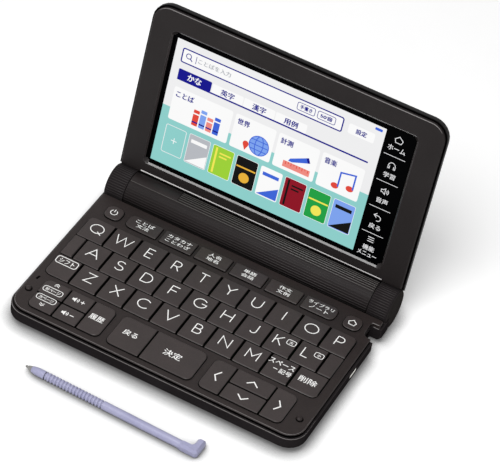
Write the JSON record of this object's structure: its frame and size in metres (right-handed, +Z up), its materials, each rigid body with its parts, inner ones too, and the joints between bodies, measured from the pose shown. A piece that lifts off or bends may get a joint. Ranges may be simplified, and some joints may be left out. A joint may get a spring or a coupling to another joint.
{
  "type": "electronic dictionary",
  "caption": "Clamshell electronic dictionary with a small keyboard, a touch display in a hinged lid, a battery barrel at the hinge and a separate stylus.",
  "frame": {"origin": "centre of the underside of the base, between its front edge and the deck's rear edge", "axes": "+X to the user's right, +Y from the user towards the hinge, +Z up; the lid is stored open"},
  "size_m": [0.148, 0.1491, 0.1035],
  "materials": {
    "deck_plastic": "fine matte",
    "key_plastic": "fine matte",
    "case_plastic": "satin",
    "bezel_plastic": "fine matte",
    "display": "gloss, lit picture",
    "foot_rubber": "matte",
    "steel": "ground",
    "board": "solder mask",
    "cell_jacket": "printed sleeve",
    "stylus_plastic": "satin"
  },
  "bodies": {
    "base": {"bottom_case": "case_plastic", "keyboard_deck": "deck_plastic", "circuit_board": "board", "front_foot": "foot_rubber", "hinge_pin": "steel"},
    "lid": {"hinge_barrel": "case_plastic", "batteries": "cell_jacket", "lid_bezel": "bezel_plastic", "lid_back_cover": "case_plastic", "display_panel": "display"},
    "battery_door": {"battery_door": "case_plastic"},
    "stylus": {"stylus": "stylus_plastic"},
    "key_power": {"key_power": "key_plastic"},
    "key_function_1": {"key_function_1": "key_plastic"},
    "key_function_2": {"key_function_2": "key_plastic"},
    "key_function_3": {"key_function_3": "key_plastic"},
    "key_function_4": {"key_function_4": "key_plastic"},
    "key_function_5": {"key_function_5": "key_plastic"},
    "key_function_6": {"key_function_6": "key_plastic"},
    "key_home": {"key_home": "key_plastic"},
    "key_q": {"key_q": "key_plastic"},
    "key_w": {"key_w": "key_plastic"},
    "key_e": {"key_e": "key_plastic"},
    "key_r": {"key_r": "key_plastic"},
    "key_t": {"key_t": "key_plastic"},
    "key_y": {"key_y": "key_plastic"},
    "key_u": {"key_u": "key_plastic"},
    "key_i": {"key_i": "key_plastic"},
    "key_o": {"key_o": "key_plastic"},
    "key_p": {"key_p": "key_plastic"},
    "key_a": {"key_a": "key_plastic"},
    "key_s": {"key_s": "key_plastic"},
    "key_d": {"key_d": "key_plastic"},
    "key_f": {"key_f": "key_plastic"},
    "key_g": {"key_g": "key_plastic"},
    "key_h": {"key_h": "key_plastic"},
    "key_j": {"key_j": "key_plastic"},
    "key_k": {"key_k": "key_plastic"},
    "key_l": {"key_l": "key_plastic"},
    "key_shift": {"key_shift": "key_plastic"},
    "key_z": {"key_z": "key_plastic"},
    "key_x": {"key_x": "key_plastic"},
    "key_c": {"key_c": "key_plastic"},
    "key_v": {"key_v": "key_plastic"},
    "key_b": {"key_b": "key_plastic"},
    "key_n": {"key_n": "key_plastic"},
    "key_m": {"key_m": "key_plastic"},
    "key_space": {"key_space": "key_plastic"},
    "key_delete": {"key_delete": "key_plastic"},
    "key_page_up": {"key_page_up": "key_plastic"},
    "key_page_down": {"key_page_down": "key_plastic"},
    "key_volume_up": {"key_volume_up": "key_plastic"},
    "key_volume_down": {"key_volume_down": "key_plastic"},
    "key_history": {"key_history": "key_plastic"},
    "key_back": {"key_back": "key_plastic"},
    "key_enter": {"key_enter": "key_plastic"},
    "key_left": {"key_left": "key_plastic"},
    "key_up": {"key_up": "key_plastic"},
    "key_down": {"key_down": "key_plastic"},
    "key_right": {"key_right": "key_plastic"}
  },
  "joints": [
    {"name": "lid_hinge", "type": "hinge", "parent": "base", "child": "lid", "pos_m": [0, 0.05351, 0.0074], "axis": [1, 0, 0], "range_deg": [-42.5, 102.5]},
    {"name": "battery_door_slide", "type": "slide", "parent": "lid", "child": "battery_door", "axis": [0, 1, 0], "range_m": [0, 0.008]},
    {"name": "stylus_lift", "type": "slide", "parent": "base", "child": "stylus", "axis": [0, 0, 1], "range_m": [0, 0.05]},
    {"name": "key_power_press", "type": "slide", "parent": "base", "child": "key_power", "axis": [0, 0, -1], "range_m": [0, 0.0008], "stiffness_N_per_m": 300},
    {"name": "key_function_1_press", "type": "slide", "parent": "base", "child": "key_function_1", "axis": [0, 0, -1], "range_m": [0, 0.0008], "stiffness_N_per_m": 300},
    {"name": "key_function_2_press", "type": "slide", "parent": "base", "child": "key_function_2", "axis": [0, 0, -1], "range_m": [0, 0.0008], "stiffness_N_per_m": 300},
    {"name": "key_function_3_press", "type": "slide", "parent": "base", "child": "key_function_3", "axis": [0, 0, -1], "range_m": [0, 0.0008], "stiffness_N_per_m": 300},
    {"name": "key_function_4_press", "type": "slide", "parent": "base", "child": "key_function_4", "axis": [0, 0, -1], "range_m": [0, 0.0008], "stiffness_N_per_m": 300},
    {"name": "key_function_5_press", "type": "slide", "parent": "base", "child": "key_function_5", "axis": [0, 0, -1], "range_m": [0, 0.0008], "stiffness_N_per_m": 300},
    {"name": "key_function_6_press", "type": "slide", "parent": "base", "child": "key_function_6", "axis": [0, 0, -1], "range_m": [0, 0.0008], "stiffness_N_per_m": 300},
    {"name": "key_home_press", "type": "slide", "parent": "base", "child": "key_home", "axis": [0, 0, -1], "range_m": [0, 0.0008], "stiffness_N_per_m": 300},
    {"name": "key_q_press", "type": "slide", "parent": "base", "child": "key_q", "axis": [0, 0, -1], "range_m": [0, 0.0008], "stiffness_N_per_m": 300},
    {"name": "key_w_press", "type": "slide", "parent": "base", "child": "key_w", "axis": [0, 0, -1], "range_m": [0, 0.0008], "stiffness_N_per_m": 300},
    {"name": "key_e_press", "type": "slide", "parent": "base", "child": "key_e", "axis": [0, 0, -1], "range_m": [0, 0.0008], "stiffness_N_per_m": 300},
    {"name": "key_r_press", "type": "slide", "parent": "base", "child": "key_r", "axis": [0, 0, -1], "range_m": [0, 0.0008], "stiffness_N_per_m": 300},
    {"name": "key_t_press", "type": "slide", "parent": "base", "child": "key_t", "axis": [0, 0, -1], "range_m": [0, 0.0008], "stiffness_N_per_m": 300},
    {"name": "key_y_press", "type": "slide", "parent": "base", "child": "key_y", "axis": [0, 0, -1], "range_m": [0, 0.0008], "stiffness_N_per_m": 300},
    {"name": "key_u_press", "type": "slide", "parent": "base", "child": "key_u", "axis": [0, 0, -1], "range_m": [0, 0.0008], "stiffness_N_per_m": 300},
    {"name": "key_i_press", "type": "slide", "parent": "base", "child": "key_i", "axis": [0, 0, -1], "range_m": [0, 0.0008], "stiffness_N_per_m": 300},
    {"name": "key_o_press", "type": "slide", "parent": "base", "child": "key_o", "axis": [0, 0, -1], "range_m": [0, 0.0008], "stiffness_N_per_m": 300},
    {"name": "key_p_press", "type": "slide", "parent": "base", "child": "key_p", "axis": [0, 0, -1], "range_m": [0, 0.0008], "stiffness_N_per_m": 300},
    {"name": "key_a_press", "type": "slide", "parent": "base", "child": "key_a", "axis": [0, 0, -1], "range_m": [0, 0.0008], "stiffness_N_per_m": 300},
    {"name": "key_s_press", "type": "slide", "parent": "base", "child": "key_s", "axis": [0, 0, -1], "range_m": [0, 0.0008], "stiffness_N_per_m": 300},
    {"name": "key_d_press", "type": "slide", "parent": "base", "child": "key_d", "axis": [0, 0, -1], "range_m": [0, 0.0008], "stiffness_N_per_m": 300},
    {"name": "key_f_press", "type": "slide", "parent": "base", "child": "key_f", "axis": [0, 0, -1], "range_m": [0, 0.0008], "stiffness_N_per_m": 300},
    {"name": "key_g_press", "type": "slide", "parent": "base", "child": "key_g", "axis": [0, 0, -1], "range_m": [0, 0.0008], "stiffness_N_per_m": 300},
    {"name": "key_h_press", "type": "slide", "parent": "base", "child": "key_h", "axis": [0, 0, -1], "range_m": [0, 0.0008], "stiffness_N_per_m": 300},
    {"name": "key_j_press", "type": "slide", "parent": "base", "child": "key_j", "axis": [0, 0, -1], "range_m": [0, 0.0008], "stiffness_N_per_m": 300},
    {"name": "key_k_press", "type": "slide", "parent": "base", "child": "key_k", "axis": [0, 0, -1], "range_m": [0, 0.0008], "stiffness_N_per_m": 300},
    {"name": "key_l_press", "type": "slide", "parent": "base", "child": "key_l", "axis": [0, 0, -1], "range_m": [0, 0.0008], "stiffness_N_per_m": 300},
    {"name": "key_shift_press", "type": "slide", "parent": "base", "child": "key_shift", "axis": [0, 0, -1], "range_m": [0, 0.0008], "stiffness_N_per_m": 300},
    {"name": "key_z_press", "type": "slide", "parent": "base", "child": "key_z", "axis": [0, 0, -1], "range_m": [0, 0.0008], "stiffness_N_per_m": 300},
    {"name": "key_x_press", "type": "slide", "parent": "base", "child": "key_x", "axis": [0, 0, -1], "range_m": [0, 0.0008], "stiffness_N_per_m": 300},
    {"name": "key_c_press", "type": "slide", "parent": "base", "child": "key_c", "axis": [0, 0, -1], "range_m": [0, 0.0008], "stiffness_N_per_m": 300},
    {"name": "key_v_press", "type": "slide", "parent": "base", "child": "key_v", "axis": [0, 0, -1], "range_m": [0, 0.0008], "stiffness_N_per_m": 300},
    {"name": "key_b_press", "type": "slide", "parent": "base", "child": "key_b", "axis": [0, 0, -1], "range_m": [0, 0.0008], "stiffness_N_per_m": 300},
    {"name": "key_n_press", "type": "slide", "parent": "base", "child": "key_n", "axis": [0, 0, -1], "range_m": [0, 0.0008], "stiffness_N_per_m": 300},
    {"name": "key_m_press", "type": "slide", "parent": "base", "child": "key_m", "axis": [0, 0, -1], "range_m": [0, 0.0008], "stiffness_N_per_m": 300},
    {"name": "key_space_press", "type": "slide", "parent": "base", "child": "key_space", "axis": [0, 0, -1], "range_m": [0, 0.0008], "stiffness_N_per_m": 300},
    {"name": "key_delete_press", "type": "slide", "parent": "base", "child": "key_delete", "axis": [0, 0, -1], "range_m": [0, 0.0008], "stiffness_N_per_m": 300},
    {"name": "key_page_up_press", "type": "slide", "parent": "base", "child": "key_page_up", "axis": [0, 0, -1], "range_m": [0, 0.0008], "stiffness_N_per_m": 300},
    {"name": "key_page_down_press", "type": "slide", "parent": "base", "child": "key_page_down", "axis": [0, 0, -1], "range_m": [0, 0.0008], "stiffness_N_per_m": 300},
    {"name": "key_volume_up_press", "type": "slide", "parent": "base", "child": "key_volume_up", "axis": [0, 0, -1], "range_m": [0, 0.0008], "stiffness_N_per_m": 300},
    {"name": "key_volume_down_press", "type": "slide", "parent": "base", "child": "key_volume_down", "axis": [0, 0, -1], "range_m": [0, 0.0008], "stiffness_N_per_m": 300},
    {"name": "key_history_press", "type": "slide", "parent": "base", "child": "key_history", "axis": [0, 0, -1], "range_m": [0, 0.0008], "stiffness_N_per_m": 300},
    {"name": "key_back_press", "type": "slide", "parent": "base", "child": "key_back", "axis": [0, 0, -1], "range_m": [0, 0.0008], "stiffness_N_per_m": 300},
    {"name": "key_enter_press", "type": "slide", "parent": "base", "child": "key_enter", "axis": [0, 0, -1], "range_m": [0, 0.0008], "stiffness_N_per_m": 300},
    {"name": "key_left_press", "type": "slide", "parent": "base", "child": "key_left", "axis": [0, 0, -1], "range_m": [0, 0.0008], "stiffness_N_per_m": 300},
    {"name": "key_up_press", "type": "slide", "parent": "base", "child": "key_up", "axis": [0, 0, -1], "range_m": [0, 0.0008], "stiffness_N_per_m": 300},
    {"name": "key_down_press", "type": "slide", "parent": "base", "child": "key_down", "axis": [0, 0, -1], "range_m": [0, 0.0008], "stiffness_N_per_m": 300},
    {"name": "key_right_press", "type": "slide", "parent": "base", "child": "key_right", "axis": [0, 0, -1], "range_m": [0, 0.0008], "stiffness_N_per_m": 300}
  ]
}
